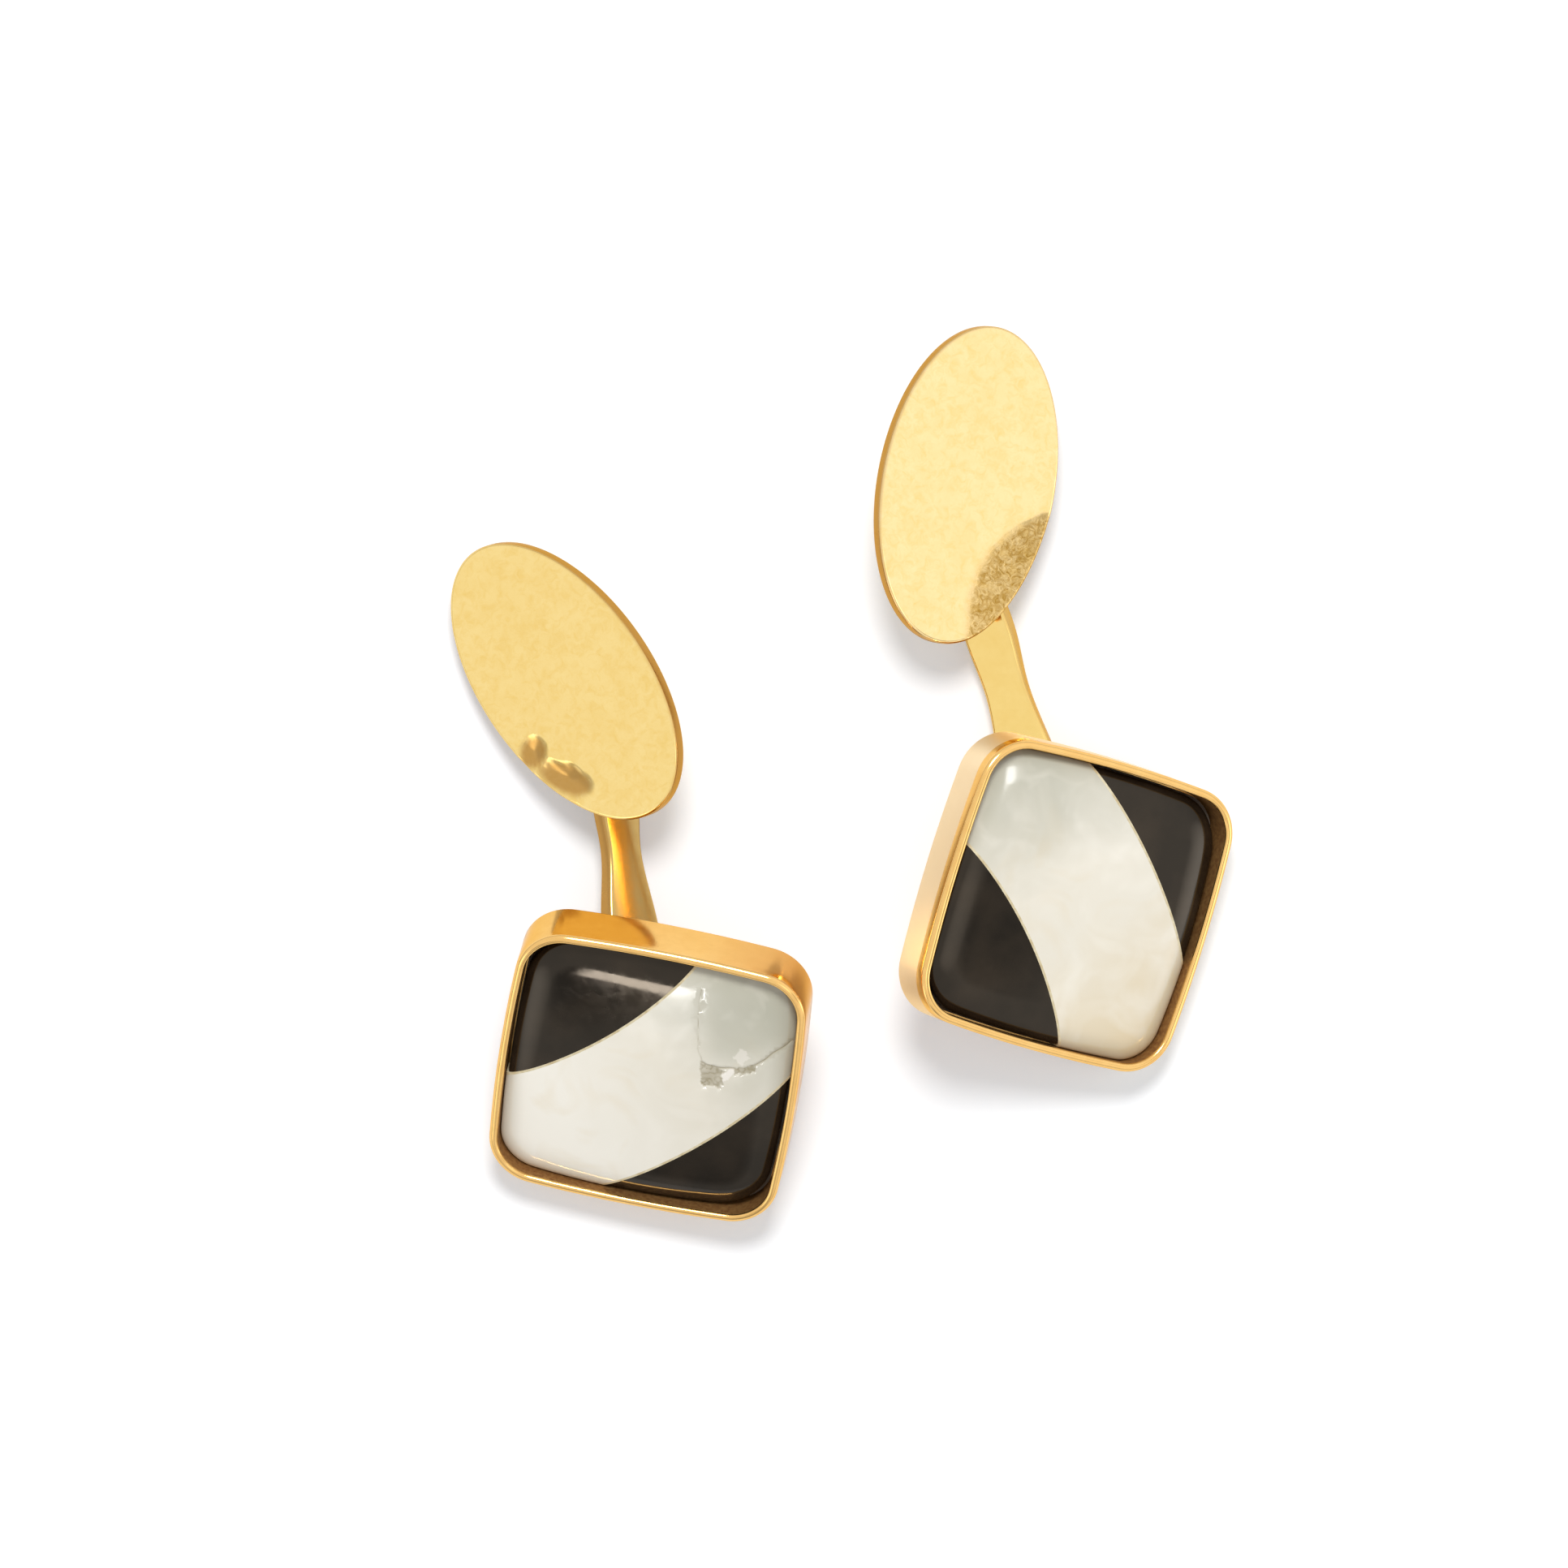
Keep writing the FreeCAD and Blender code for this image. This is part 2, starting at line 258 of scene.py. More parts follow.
def polished_gold(name, colour, deep, brush_angle, low_rough, high_rough, mottled=0.6,
                  hairline=0.2, pitted=0.06):
    """Gold with soft clouding and fine hairlines, and with the marks that a mesh may carry."""
    material, tree, shader = new_material(name)
    own = own_place(tree)
    brushed = add_node(tree, "ShaderNodeMapping", {
        "Vector": own, "Scale": brush_stretch, "Rotation": (0, 0, math.radians(brush_angle))})
    cloud = clouds(tree, own, 0.7, 4.0, grain=gold_grain)
    mottle = clouds(tree, own, 2.0, 5.0, 0.8, gold_grain)
    pits = clouds(tree, own, 5.0, 3.0, grain=gold_grain)
    hairs = clouds(tree, brushed.outputs["Vector"], 1.0, 3.0, grain=gold_grain)
    crumple = clouds(tree, own, 2.4, 6.0, 1.6, gold_grain)
    filed_and_shaded, scuffed_and_shaded, satin_and_pale_reflection, grime_and_shade, shaded_corner = (
        mark(tree, which) for which in ("filed_and_shaded", "scuffed_and_shaded", "satin_and_pale_reflection", "grime_and_shade", "shaded_corner"))

    tone = blended(tree, mapped(tree, cloud, 0.35, 0.75, 0.0, 0.45), colour, deep)
    tone = blended(tree, mapped(tree, mottle, 0.45, 0.75, 0.0, mottled), tone, deep)
    # Satin outside of the right wall: rougher, and painted paler as a reflection of the white sheet
    tone = blended(tree, satin_and_pale_reflection, tone, pale_reflection_gold)
    # Painted darker corner of the left wall: painted shade for darker reflections
    tone = blended(tree, shaded_corner, tone, corner_shade_gold)
    # Filed faces painted darker brown: painted shade and painted dark reflections
    tone = blended(tree, mapped(tree, filed_and_shaded, 0.0, 1.0, 0.0, 0.9), tone, filed_and_shade_gold)
    # Scuffs: crumpled wear in bump and roughness, and a darker tone painted as a dark reflection
    crumpled_and_shaded = worked(tree, "MULTIPLY", scuffed_and_shaded, mapped(tree, crumple, 0.35, 0.62, 1.0, 0.35))
    tone = blended(tree, crumpled_and_shaded, tone, scuff_reflection_gold)
    # Grime with painted shade: dark brown and less metal on the inner wall
    caked_and_shaded = worked(tree, "MULTIPLY", grime_and_shade, mapped(tree, pits, 0.3, 0.7, 0.95, 0.65))
    tone = blended(tree, caked_and_shaded, tone, grime_and_shade_brown)

    dull = worked(tree, "MAXIMUM", filed_and_shaded, scuffed_and_shaded)
    dull = worked(tree, "MAXIMUM", dull, mapped(tree, satin_and_pale_reflection, 0.0, 1.0, 0.0, 1.8))
    dull = worked(tree, "MAXIMUM", dull, mapped(tree, grime_and_shade, 0.0, 1.0, 0.0, 1.5))
    rough = worked(tree, "ADD", mapped(tree, dull, 0.0, 2.0, 0.0, 0.32),
                   mapped(tree, cloud, 0.3, 0.7, low_rough, high_rough))
    relief = worked(tree, "MULTIPLY", mapped(tree, scuffed_and_shaded, 0.0, 1.0, 0.0, 1.7), crumple)
    relief = worked(tree, "ADD", relief, mapped(tree, hairs, 0.0, 1.0, 0.0, hairline))
    relief = worked(tree, "ADD", relief, mapped(tree, pits, 0.0, 1.0, 0.0, pitted))
    bump = add_node(tree, "ShaderNodeBump", {"Height": relief, "Strength": 0.5,
                                             "Distance": gold_relief * MM})
    put(tree, shader, Base_Color=tone, Metallic=mapped(tree, grime_and_shade, 0.0, 1.0, 1.0, 0.45),
        Roughness=rough, Normal=bump.outputs["Normal"], Specular_Tint=gold_edge_tint)
    return material


front_at = {side: front_place(side) for side in SIDES}
bezel_gold = polished_gold("warm_gold_wall", warm_gold, warm_gold_deep, 0, 0.1, 0.18,
                           mottled=0.4, hairline=0.07, pitted=0.02)
strip_foot = front_depth - burnished_strip
grime_and_shade_top = front_depth - rim_inner_round - grime_and_shade_fade
outer_wall = round_over(foot_round, foot_round, foot_round, 270, 180)
outer_wall.append((0, strip_foot - burnished_fade))
rim = ([(0, strip_foot)] + round_over(rim_roll, front_depth - rim_roll, rim_roll, 180, 90)
       + round_over(wall - rim_inner_round, front_depth - rim_inner_round, rim_inner_round, 90, 0))
inner_wall = [(wall, grime_and_shade_top), (wall, 0)]
ring = len(bowed_square(0))
for side in SIDES:
    points, satin_and_pale_reflection, grime_and_shade, shaded_corner = [], [], [], []
    for row, (inset, height) in enumerate(outer_wall + rim + inner_wall):
        outside = row < len(outer_wall)
        inside = row >= len(outer_wall) + len(rim)
        # The right wall's outside is satin and painted paler, a painted reflection of the white sheet
        satin_and_pale_reflection += [1.0 if outside and side == "right" else 0.0] * ring
        # The inner wall in the trench: grime and painted shade
        grime_and_shade += [1.0 if inside else 0.0] * ring
        for p in bowed_square(inset):
            at = Vector((p.x, p.y, height))
            dip = wall_waver * (0.5 + 0.5 * noise.noise(at / wall_waver_length))
            points.append(at - Vector((p.x, p.y, 0)).normalized() * dip)
            below_rim = not inside and height < front_depth - rim_roll / 2
            # Painted darker corner: left front's wall, half at +y, below the rim
            in_shaded_corner = side == "left" and p.y > 0 and below_rim
            shaded_corner.append(min(max((p.x - corner_shade_start) / corner_shade_run, 0), 1) if in_shaded_corner else 0.0)
    rows = len(outer_wall + rim + inner_wall)
    add_piece(side + "_bezel", "fronts", side + "_bezel_wall", points,
              loops_to_faces(rows, ring, closed=True), front_at[side], bezel_gold,
              marks={"satin_and_pale_reflection": satin_and_pale_reflection, "grime_and_shade": grime_and_shade, "shaded_corner": shaded_corner})


# Back plates. A flat gold plate is soldered into the wall from behind, flush with its edge, and
# bears on the shirt cuff round the post.
back_thickness = 0.7
back_edge = 0.08
back_gold = polished_gold("warm_gold_back", warm_gold, warm_gold_deep, 35, 0.12, 0.24)
back_rings = [(wall, back_thickness), (wall, back_edge), (wall + back_edge, 0)]
for side in SIDES:
    points = [Vector((p.x, p.y, height)) for inset, height in back_rings for p in bowed_square(inset)]
    add_piece(side + "_back", "fronts", side + "_back_plate", points,
              loops_to_faces(len(back_rings), ring), front_at[side], back_gold)


# Stone beds. Dark setting cement was poured on the back plate and levelled to carry the stones. It
# lies out of sight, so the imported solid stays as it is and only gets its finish.
bed_thickness = 0.45
bed_relief = 0.05
cement_dark = (0.10, 0.085, 0.07)
cement_light = (0.20, 0.17, 0.14)
bed_cement, tree, shader = new_material("setting_cement")
lumps = clouds(tree, add_node(tree, "ShaderNodeTexCoord").outputs["Object"], 2500.0, 5.0)
bump = add_node(tree, "ShaderNodeBump", {"Height": lumps, "Strength": 0.4, "Distance": bed_relief * MM})
put(tree, shader, Base_Color=blended(tree, lumps, cement_dark, cement_light),
    Roughness=mapped(tree, lumps, 0.3, 0.7, 0.7, 0.95), Normal=bump.outputs["Normal"])
for side in SIDES:
    bed = frame["nodes"][side + "_stone_bed"]
    bed.data.materials.clear()
    bed.data.materials.append(bed_cement)


# Onyx corners. Two pieces of polished black onyx fill opposite corners of each front. The three
# stones were ground to one crown with rounded edges, so their tops run on from each other.
bed_top = back_thickness + bed_thickness
snug_gap, snug_corner = 0.05, 2.05
loose_gap, loose_corner = 0.16, 2.7
shoulder_drop = 0.42
shoulder_width = 1.8
crown_radius = 55.0
crown_proud = 0.08
seam_centre_reach = 28.5
inner_seam_before = 3.05
outer_seam_beyond = 4.45
half_seam = 0.06
inlay_heading = {"left": 135.0, "right": 225.0}
whole_reach = 60.0
edge_rings = 14
grid_step = 0.45
grid_margin = grid_step / 3
merge_reach = 1e-7
crossing_halvings = 40
arc_step = 0.3
arc_ends = (0.012, 0.03, 0.06, 0.1, 0.15, 0.21, 0.28, 0.36, 0.45, 0.55, 0.7)
near_arc = 0.025
stone_sharp_angle = 35
stone_relief = 0.02
onyx_black = (0.006, 0.005, 0.004)
onyx_brown = (0.022, 0.016, 0.011)
onyx_gloss_tint = (1.0, 0.84, 0.66, 1)

snug = (wall + snug_gap, snug_corner)
loose = (wall + loose_gap, loose_corner)
crown_top = front_depth + crown_proud
inner_seam = seam_centre_reach - inner_seam_before
outer_seam = seam_centre_reach + outer_seam_beyond


def stone_outline(fit, further=0):
    """The outline of the stones at a fit: inset from the outside of the wall, and corner radius."""
    inset, corner = fit
    return bowed_square(inset + further, inset + corner)


def depth_inside(p, fit):
    """How far a point lies inside the outline of the stones."""
    inset, corner = fit
    corner_reach, bow_angle = corner_place(inset + corner)
    x, y = max(abs(p.x), abs(p.y)), min(abs(p.x), abs(p.y))
    if math.atan2(y, x + bow_back) < bow_angle:
        return side_bow_radius - inset - math.hypot(x + bow_back, y)
    return corner - math.hypot(x - corner_reach, y - corner_reach)


def stone_height(p, fit):
    """Height of the polished crown, rounded off towards the wall."""
    top = crown_top - crown_radius + math.sqrt(crown_radius ** 2 - p.length_squared)
    share = min(max(depth_inside(p, fit) / shoulder_width, 0), 1)
    return top - shoulder_drop * (1 - math.sqrt(1 - (1 - share) ** 2))


def cut_by_arc(outline, centre, radius, inside):
    """The stretch of an outline on one side of an arc, closed along that arc."""
    keep = [((p - centre).length < radius) == inside for p in outline]
    if all(keep):
        return outline
    count = len(outline)

    def crossing(a, b):
        for _ in range(crossing_halvings):
            m = (a + b) / 2
            a, b = (m, b) if ((m - centre).length < radius) == inside else (a, m)
        return (a + b) / 2

    first = next(i for i in range(count) if keep[i] and not keep[i - 1])
    run = []
    i = first
    while keep[i % count]:
        run.append(outline[i % count])
        i += 1
    enter = crossing(outline[first % count], outline[first - 1])
    leave = crossing(run[-1], outline[i % count])
    a = math.atan2(*(leave - centre).yx)
    turn = (math.atan2(*(enter - centre).yx) - a + math.pi) % (2 * math.pi) - math.pi
    length = abs(turn) * radius
    steps = max(2, int((length - 2 * arc_ends[-1]) / arc_step))
    along = list(arc_ends) + [length - d for d in arc_ends]
    along += [arc_ends[-1] + (length - 2 * arc_ends[-1]) * k / steps for k in range(1, steps)]
    arc = [centre + Vector((math.cos(a + turn * d / length), math.sin(a + turn * d / length))) * radius
           for d in sorted(along)]
    return [enter] + run + [leave] + arc


def inlay_stone(side, name, node, slot, material, low, high, fit, extra=(), sink=None, marks=None):
    """One stone of the inlay, between two arcs about the same centre beyond the corner."""
    way = math.radians(inlay_heading[side])
    centre = Vector((math.cos(way), math.sin(way))) * seam_centre_reach
    outline = cut_by_arc(stone_outline(fit), centre, high, True)
    outline = cut_by_arc(outline, centre, low, False)

    def inside_arcs(p, margin):
        return low + margin < (p - centre).length < high - margin

    inner = []
    for k in range(1, edge_rings + 1):
        d = shoulder_width * (1 - math.cos(math.pi / 2 * k / edge_rings))
        inner += [p for p in stone_outline(fit, d) if inside_arcs(p, near_arc)]
    half = int(front_side / 2 / grid_step) + 1
    for i in range(-half, half + 1):
        for j in range(-half, half + 1):
            p = Vector(((i + j % 2 / 2) * grid_step, j * grid_step))
            if depth_inside(p, fit) > shoulder_width + grid_margin and inside_arcs(p, grid_margin):
                inner.append(p)
    inner += [p for p in extra if inside_arcs(p, near_arc) and depth_inside(p, fit) > near_arc]
    flat = outline + inner
    loop = list(range(len(outline)))
    made = geometry.delaunay_2d_cdt(flat, [], [loop], 1, merge_reach)
    tops, triangles, origin = made[0], made[2], made[3]
    points = [Vector((p.x, p.y, stone_height(p, fit) - (sink(p) if sink else 0))) for p in tops]
    rim = {old: new for new, olds in enumerate(origin) for old in olds if old < len(outline)}
    rim = [rim[k] for k in loop]
    base = len(points)
    points += [Vector((points[k].x, points[k].y, bed_top)) for k in rim]
    faces = [tuple(t) for t in triangles]
    for k in loop:
        n = (k + 1) % len(loop)
        faces.append((rim[k], rim[n], base + n, base + k))
    faces.append(tuple(base + k for k in loop))
    values = {which: [shade(Vector(p.xy)) for p in points] for which, shade in (marks or {}).items()}
    add_piece(side + "_" + name, "fronts", side + "_" + node, points, faces,
              front_at[side], material, stone_sharp_angle, values)


onyx, tree, shader = new_material("black_onyx")
own = own_place(tree)
veil = clouds(tree, own, 0.35, 3.0)
smear = clouds(tree, own, 1.8, 5.0, 0.6)
bump = add_node(tree, "ShaderNodeBump", {"Height": smear, "Strength": 0.05,
                                         "Distance": stone_relief * MM})
tone = blended(tree, mapped(tree, veil, 0.4, 0.7, 0.0, 1.0), onyx_black, onyx_brown)
put(tree, shader, Base_Color=tone, Roughness=mapped(tree, smear, 0.3, 0.7, 0.05, 0.13),
    Normal=bump.outputs["Normal"], IOR=1.5, Specular_IOR_Level=0.42, Specular_Tint=onyx_gloss_tint)
for side in SIDES:
    inlay_stone(side, "onyx_small", "onyx_inner", "onyx", onyx, 0, inner_seam - half_seam, loose)
    inlay_stone(side, "onyx_large", "onyx_outer", "onyx", onyx, outer_seam + half_seam, whole_reach,
                loose)


# Mother-of-pearl bands. A curved band of white nacre, sawn from shell and set in the same cement,
# runs from corner to corner between the onyx. It is greyer at one end and white or creamy at the
# other. The left one has cracked and chipped.
pearl_white = (0.87, 0.82, 0.70)
pearl_bright = (0.97, 0.93, 0.83)
pearl_cream = (0.80, 0.66, 0.42)
pearl_grey = (0.47, 0.465, 0.37)
chip_olive = (0.28, 0.23, 0.12)
# White of the loose flakes, a painted highlight
flake_highlight_white = (0.96, 0.91, 0.83)
# Olive tone along the stone's rounded edges, painted shade where they turn away
edge_shade_olive = (0.44, 0.43, 0.33)
edge_shade_reach = 1.1
crack_line = ((1.96, 5.67), (1.95, 4.68), (2.19, 3.12), (2.25, 2.43), (2.53, 1.68))
chip_line = ((2.53, 1.68), (3.41, 1.52), (4.22, 1.58), (4.61, 1.46), (5.18, 1.98), (5.65, 2.37),
             (5.95, 2.77), (6.58, 3.28), (6.84, 3.59))
chip_floors = (((2.53, 1.68), (3.41, 1.52), (3.72, 1.39), (3.73, 0.44), (3.28, 0.40), (2.92, 0.38),
                (2.62, 0.47)),
               ((4.22, 1.58), (5.25, 2.04), (5.24, 1.56), (4.62, 1.32), (4.23, 1.20)))
loose_flakes = (((3.72, 0.77), (3.77, 1.30), (4.05, 1.59), (4.23, 1.53), (4.10, 0.99), (3.97, 0.77)),
                ((4.07, 2.30), (4.40, 2.87), (4.89, 2.30), (4.51, 1.82)))
flake_highlight_shares = (0.9, 0.45)
flake_corner = Vector((2.1, 1.3))
flake_floor = 1.4
flake_fade = 1.2
flake_bend, flake_climb = 4, 0.75
crack_half = 0.055
chip_half = 0.09
chip_sink = 0.06
crack_shade, crack_shade_waver, crack_shade_pitch = 0.4, 0.4, 1.7
chip_edge_share = 0.8
floor_shade, patch_shade, net_shade = 0.35, 0.35, 0.3
patch_pitch, net_pitch, net_sharpness = 1.8, 3.6, 4
floor_sink_share = 0.5
line_waver, line_waver_pitch = 0.06, 2.5
crumble_reach, crumble_pitch = 0.17, 4
far_off = 9.0
line_step = 0.05
chip_low, chip_high, chip_step = Vector((2.4, 0.3)), Vector((5.4, 3.0)), 0.07
damage_margin = Vector((1, 0.5))
look_back = 400
band_half_share = 0.6
white_shift = 0.1


def along_line(corners, step):
    """Points at even steps along a chain of corners."""
    made = []
    for a, b in zip(corners, corners[1:]):
        a, b = Vector(a), Vector(b)
        count = max(1, round((b - a).length / step))
        made += [a.lerp(b, k / count) for k in range(count)]
    return made


def wavered(p, reach, pitch, first, second):
    """A point moved a little to and fro, by two sheets of noise."""
    shift = [noise.noise(Vector((p.x, p.y, sheet)) * pitch) for sheet in (first, second)]
    return p + Vector(shift) * reach


def off_line(p, corners):
    """How far a point lies from a chain of corners, with a slight waver."""
    p = wavered(p, line_waver, line_waver_pitch, 1, 5)
    best = far_off
    for a, b in zip(corners, corners[1:]):
        near, share = geometry.intersect_point_line(p, Vector(a), Vector(b))
        near = Vector(a).lerp(Vector(b), min(max(share, 0), 1))
        best = min(best, (p - near).length)
    return best


def within(p, corners):
    """Whether a point lies inside a closed chain of corners."""
    hit = False
    for (ax, ay), (bx, by) in zip(corners, corners[1:] + corners[:1]):
        if (ay > p.y) != (by > p.y) and p.x < ax + (bx - ax) * (p.y - ay) / (by - ay):
            hit = not hit
    return hit


def crumbled(p):
    """A point moved so that straight breaks come out ragged."""
    return wavered(p, crumble_reach, crumble_pitch, 3, 9)


def near_damage(p):
    return chip_low.x - damage_margin.x < p.x and chip_low.y - damage_margin.y < p.y


def chipped(p):
    """How brown a point is: the crack, the stepped edge of the chip and the net on its floor."""
    if not near_damage(p):
        return 0
    faint = crack_shade + crack_shade_waver * noise.noise(Vector((0, p.y, 2)) * crack_shade_pitch)
    brown = faint * max(0, 1 - off_line(p, crack_line) / crack_half)
    brown = max(brown, chip_edge_share * max(0, 1 - off_line(p, chip_line) / chip_half))
    for corners in chip_floors:
        if within(crumbled(p), corners):
            net = max(0, 1 - net_sharpness * abs(noise.noise(Vector((p.x, p.y, 7)) * net_pitch)))
            patch = 0.5 + 0.5 * noise.noise(Vector((p.x, p.y, 4)) * patch_pitch)
            brown = max(brown, floor_shade + patch_shade * patch + net_shade * net)
    return brown


def whitened(p):
    """How white a point is on the loose flakes: a painted highlight."""
    if not near_damage(p):
        return 0
    return max(share if within(crumbled(p), corners) else 0
               for share, corners in zip(flake_highlight_shares, loose_flakes))


def chip_depth(p):
    if not near_damage(p):
        return 0
    floor = floor_sink_share if any(within(p, corners) for corners in chip_floors) else 0
    return chip_sink * max(chipped(p), floor)


def flaked(p):
    """How far a point lies in the corner that the crack parts from the rest."""
    if p.y < flake_floor:
        return 0
    climb = flake_climb * max(0, p.x - flake_bend)
    across = min(1, max(0, (p.x - flake_corner.x) / flake_fade))
    return across * min(1, max(0, (p.y - flake_corner.y - climb) / flake_fade))


# Share of the painted edge shade, fading over a short reach inside the outline
def edge_shade(p):
    return max(0, 1 - depth_inside(p, snug) / edge_shade_reach)


def along_band(side):
    """From -1 at the white or creamy end of the band to 1 at its grey end."""
    way = math.radians(inlay_heading[side] - 90)
    ahead = Vector((math.cos(way), math.sin(way)))
    return lambda p: p.dot(ahead) / (front_side * band_half_share)


crack_points = along_line(crack_line, line_step) + along_line(chip_line, line_step)
damage = []
for here, there in zip(crack_points, crack_points[1:]):
    out = (there - here).orthogonal().normalized() * crack_half
    damage += [here, here + out, here - out]
for i in range(round((chip_high.x - chip_low.x) / chip_step)):
    for j in range(round((chip_high.y - chip_low.y) / chip_step)):
        p = chip_low + Vector((i + j % 2 / 2, j)) * chip_step
        if all((p - q).length > chip_step / 2 for q in damage[-look_back:]):
            damage.append(p)

pearl, tree, shader = new_material("mother_of_pearl")
own = own_place(tree)
band, creamy, brown, white, flake, edge = (
    mark(tree, which) for which in ("along_band", "creamy", "chipped", "whitened", "flaked", "edge_shade"))
cloud = clouds(tree, own, 0.2, 3.0, 0.6)
layers = clouds(tree, own, 0.45, 2.0, 0.8)
sheen = clouds(tree, own, 0.28, 2.5, 1.0)
drift = mapped(tree, cloud, 0.3, 0.7, -0.12, 0.12)
shift = worked(tree, "ADD", band, drift)
cream = worked(tree, "ADD", creamy, drift)
tone = blended(tree, mapped(tree, cream, 0.1, 1.0, 0.0, 0.95), pearl_white, pearl_cream)
tone = blended(tree, mapped(tree, cream, 0.0, -0.6, 0.0, 1.0), tone, pearl_bright)
tone = blended(tree, mapped(tree, sheen, 0.52, 0.72, 0.0, 0.5), tone, pearl_bright)
tone = blended(tree, mapped(tree, sheen, 0.44, 0.28, 0.0, 0.25), tone, pearl_cream)
tone = blended(tree, mapped(tree, shift, 0.15, 1.0, 0.0, 1.0), tone, pearl_grey)
tone = blended(tree, mapped(tree, flake, 0.0, 1.0, 0.0, 0.4), tone, pearl_grey)
tone = blended(tree, mapped(tree, layers, 0.5, 0.8, 0.0, 0.35), tone, pearl_bright)
# Painted shade, olive, along the rounded edges
tone = blended(tree, mapped(tree, edge, 0.0, 1.0, 0.0, 0.5), tone, edge_shade_olive)
# Painted highlight on the loose flakes
tone = blended(tree, white, tone, flake_highlight_white)
tone = blended(tree, brown, tone, chip_olive)
bump = add_node(tree, "ShaderNodeBump", {"Height": layers, "Strength": 0.05,
                                         "Distance": stone_relief * MM})
rough = worked(tree, "MAXIMUM", mapped(tree, layers, 0.3, 0.7, 0.08, 0.16), brown)
put(tree, shader, Base_Color=tone, Roughness=rough, Normal=bump.outputs["Normal"], IOR=1.56)
for side in SIDES:
    along = along_band(side)
    marks = {"along_band": along, "edge_shade": edge_shade}
    if side == "left":
        breaks = {"extra": damage, "sink": chip_depth}
        marks.update(creamy=lambda p: min(0, along(p) - white_shift), chipped=chipped,
                     whitened=whitened, flaked=flaked)
    else:
        breaks = {}
        marks.update(creamy=lambda p: max(0, -along(p)))
    inlay_stone(side, "pearl", "pearl_band", "mother_of_pearl", pearl, inner_seam + half_seam,
                outer_seam - half_seam, snug, marks=marks, **breaks)


# Seams. A thin tan line of cement fills the joints between the stones. It was pressed in when they
# were set, then ground and polished flush with them.
seam_tan = (0.62, 0.50, 0.28)
seam_pale = (0.80, 0.72, 0.50)
seam_cement, tree, shader = new_material("seam_cement")
grain = clouds(tree, own_place(tree), 2.2, 3.0)
tone = blended(tree, mapped(tree, grain, 0.35, 0.65, 0.0, 1.0), seam_tan, seam_pale)
put(tree, shader, Base_Color=tone, Roughness=mapped(tree, grain, 0.3, 0.7, 0.25, 0.45))
for side in SIDES:
    for name, middle in (("seam_inner", inner_seam), ("seam_outer", outer_seam)):
        inlay_stone(side, name + "_line", name, "seam_cement", seam_cement,
                    middle - half_seam, middle + half_seam, snug)


# Toggle plates. An oval of polished yellow gold, sawn from sheet and filed round the edge. The left
# one has two small dents by its edge, and a corner of the right one is worn down and scuffed.
# The filed edge, the dents and the scuffed corner are painted darker: painted shade and painted dark
# reflections
plate_lies = {"left": (39.7, 198.3, 29.2), "right": (-11.2, -7.0, 22.9)}
plate_length = 16.05
plate_width = 9.4
plate_thickness = 0.85
plate_edge_round = 0.16
edge_start = 0.02
polish_loss = 0.01
pin_drop = 1.45
plate_round_steps = 220
plate_rings = 56
plate_sharp_angle = 50
plate_yellow = {"left": (0.95, 0.72, 0.29), "right": (0.95, 0.73, 0.37)}
plate_yellow_deep = {"left": (0.88, 0.60, 0.17), "right": (0.89, 0.61, 0.21)}
worn_middle = Vector((6.6, -5.6))
worn_reach = 5.5
worn_slope = math.tan(math.radians(9))
worn_run = 1.7
worn_soft = 0.25
worn_waver, worn_waver_pitch = 0.12, 1.3
# Where the scuff and its painted dark reflection begin and fade
scuff_and_shade_early, scuff_and_shade_fade = 0.1, 0.5
crease_rise = 0.03
crease_half = 0.13
# Middle, reach both ways, turn in degrees and depth of each dent
dents = ((Vector((-3.75, -1.6)), (1.0, 0.8), 20, 0.2), (Vector((-3.15, -3.7)), (1.75, 0.9), -58, 0.26))
dent_waver, dent_waver_pitch = 0.12, 1.6
dent_lip = 0.03
lip_share, lip_half_share = 1.05, 0.1
dent_wall = 4
# The dents are painted darker towards their middles, a painted dark reflection
dent_darkening_rise = 3
dent_darkening_share = 0.85
dent_scuff_and_shade = 0.2


def toggle_place(side):
    """Where the pin lies, read from the joint, with the plate's own turn."""
    joint = next(j for j in frame["joints"] if j["name"] == side + "_toggle_swivel")
    return Matrix.Translation(Vector(joint["pos_m"])) @ lying(*plate_lies[side]).to_4x4()


def worn_corner(p):
    """Sink, dent darkening and scuff of the worn corner of the right plate, with a lip along its border.
    The scuff's darker tone is a painted dark reflection.
    """
    waver = worn_waver * noise.noise(Vector((p.x, p.y, 0)) * worn_waver_pitch)
    d = worn_reach - (p - worn_middle).length + waver
    if d <= -2 * worn_soft:
        return 0, 0, 0
    run = (d + 2 * worn_soft) ** 2 / (8 * worn_soft) if d < 2 * worn_soft else d
    sink = worn_slope * worn_run * (1 - math.exp(-run / worn_run))
    scuff_and_shade = min(1, max(0, (d + scuff_and_shade_early) / scuff_and_shade_fade))
    return sink - crease_rise * math.exp(-(d / crease_half) ** 2), 0, scuff_and_shade


